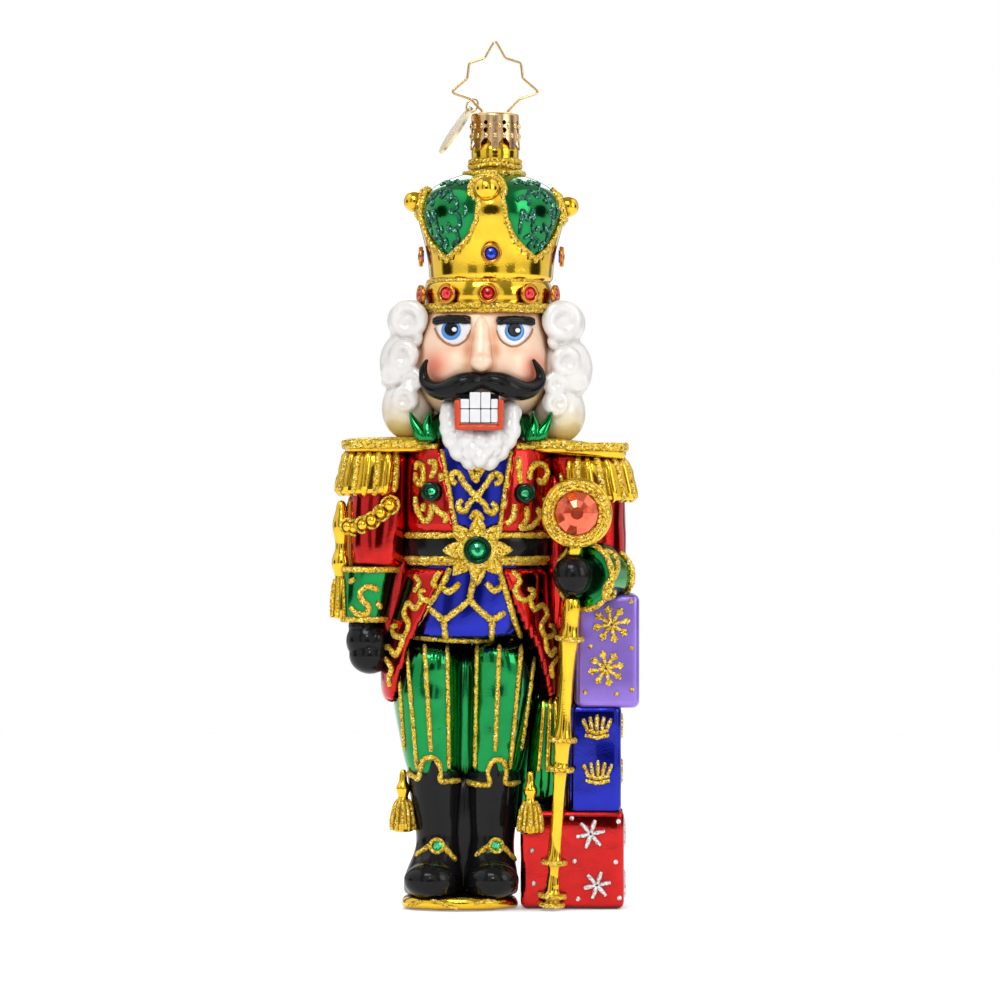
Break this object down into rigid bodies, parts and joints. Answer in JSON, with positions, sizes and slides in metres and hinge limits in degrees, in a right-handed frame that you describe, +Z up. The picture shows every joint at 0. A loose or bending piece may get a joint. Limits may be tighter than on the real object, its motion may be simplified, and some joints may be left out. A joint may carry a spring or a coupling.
{
  "type": "nutcracker ornament",
  "caption": "Hanging glass nutcracker king with crown, staff and stacked parcels; its cap pulls off, the wire hanger lifts and the tag swings.",
  "frame": {"origin": "on the table plane, at the centre of the whole object's box seen from above", "axes": "+Z up, the figure looks along -Y, its staff and parcels are on the +X side"},
  "size_m": [0.0691, 0.0394, 0.1939],
  "materials": {
    "gold": "silvered glass under yellow-gold lacquer, mirror bright",
    "emerald": "silvered glass under emerald candy lacquer, mirror bright",
    "ruby": "silvered glass under ruby candy lacquer, mirror bright",
    "cobalt": "silvered glass under cobalt candy lacquer, mirror bright",
    "lavender": "satin lavender lacquer with a soft metallic glow",
    "flesh": "satin pearl flesh lacquer with airbrushed cheeks",
    "pearl": "satin pearl-white lacquer",
    "black": "black gloss lacquer",
    "white": "white gloss enamel",
    "eye_blue": "blue enamel",
    "mouth_red": "red-orange enamel",
    "gold_glitter": "raised glue line under gold glitter",
    "red_crystal": "foiled faceted crystal",
    "blue_crystal": "foiled faceted crystal",
    "green_crystal": "foiled faceted crystal",
    "orange_crystal": "foiled faceted crystal",
    "cap_metal": "thin pressed sheet, bright pale gold",
    "wire": "drawn spring wire, bright",
    "tag_metal": "stamped sheet, champagne gold"
  },
  "bodies": {
    "figure": {"arm_tassel": "gold", "base_plate": "gold", "beard": "pearl", "belt": "black", "boot_emeralds": "green_crystal", "boot_left": "black", "boot_right": "black", "boot_tassels": "gold", "brows": "black", "buckle_emerald": "green_crystal", "buckle_star": "gold_glitter", "coat_back": "ruby", "coat_front_left": "ruby", "coat_front_right": "ruby", "coat_lining": "emerald", "coat_skirt_left": "ruby", "coat_skirt_right": "ruby", "collar": "emerald", "cord_beads": "gold_glitter", "crown_balls": "gold", "crown_band": "gold", "crown_dome": "emerald", "crown_frame": "gold", "crown_rubies": "red_crystal", "crown_sapphires": "blue_crystal", "cuff_left": "emerald", "cuff_right": "emerald", "epaulettes": "gold_glitter", "eye_irises": "eye_blue", "eye_pupils": "black", "eye_whites": "white", "fringes": "gold", "gift_blue": "cobalt", "gift_purple": "lavender", "gift_red": "ruby", "glass_neck": "gold", "glove_left": "black", "glove_right": "black", "hair_back": "pearl", "hair_left": "pearl", "hair_right": "pearl", "head": "flesh", "lapel_emeralds": "green_crystal", "moustache": "black", "mouth_frame": "mouth_red", "nose": "flesh", "sleeve_left": "ruby", "sleeve_right": "ruby", "staff_head": "gold", "staff_shaft": "gold", "staff_stone": "orange_crystal", "teeth": "white", "trouser_left": "emerald", "trouser_right": "emerald", "vest": "cobalt"},
    "cap": {"cap": "cap_metal"},
    "hanger": {"hanger_wire": "wire"},
    "tag_ring": {"tag_ring": "wire"},
    "tag": {"tag": "tag_metal"}
  },
  "joints": [
    {"name": "cap_pull", "type": "slide", "parent": "figure", "child": "cap", "axis": [0, 0, 1], "range_m": [0, 0.024]},
    {"name": "hanger_lift", "type": "slide", "parent": "cap", "child": "hanger", "axis": [0, 0, 1], "range_m": [0, 0.005]},
    {"name": "tag_ring_swing", "type": "hinge", "parent": "hanger", "child": "tag_ring", "pos_m": [-0.00215, 0, 0.18035], "axis": [0, 1, 0], "range_deg": [0, 30]},
    {"name": "tag_swing", "type": "hinge", "parent": "tag_ring", "child": "tag", "pos_m": [-0.00349, 0, 0.17836], "axis": [0.8188, 0.1564, -0.5523], "range_deg": [-40, 40]}
  ]
}
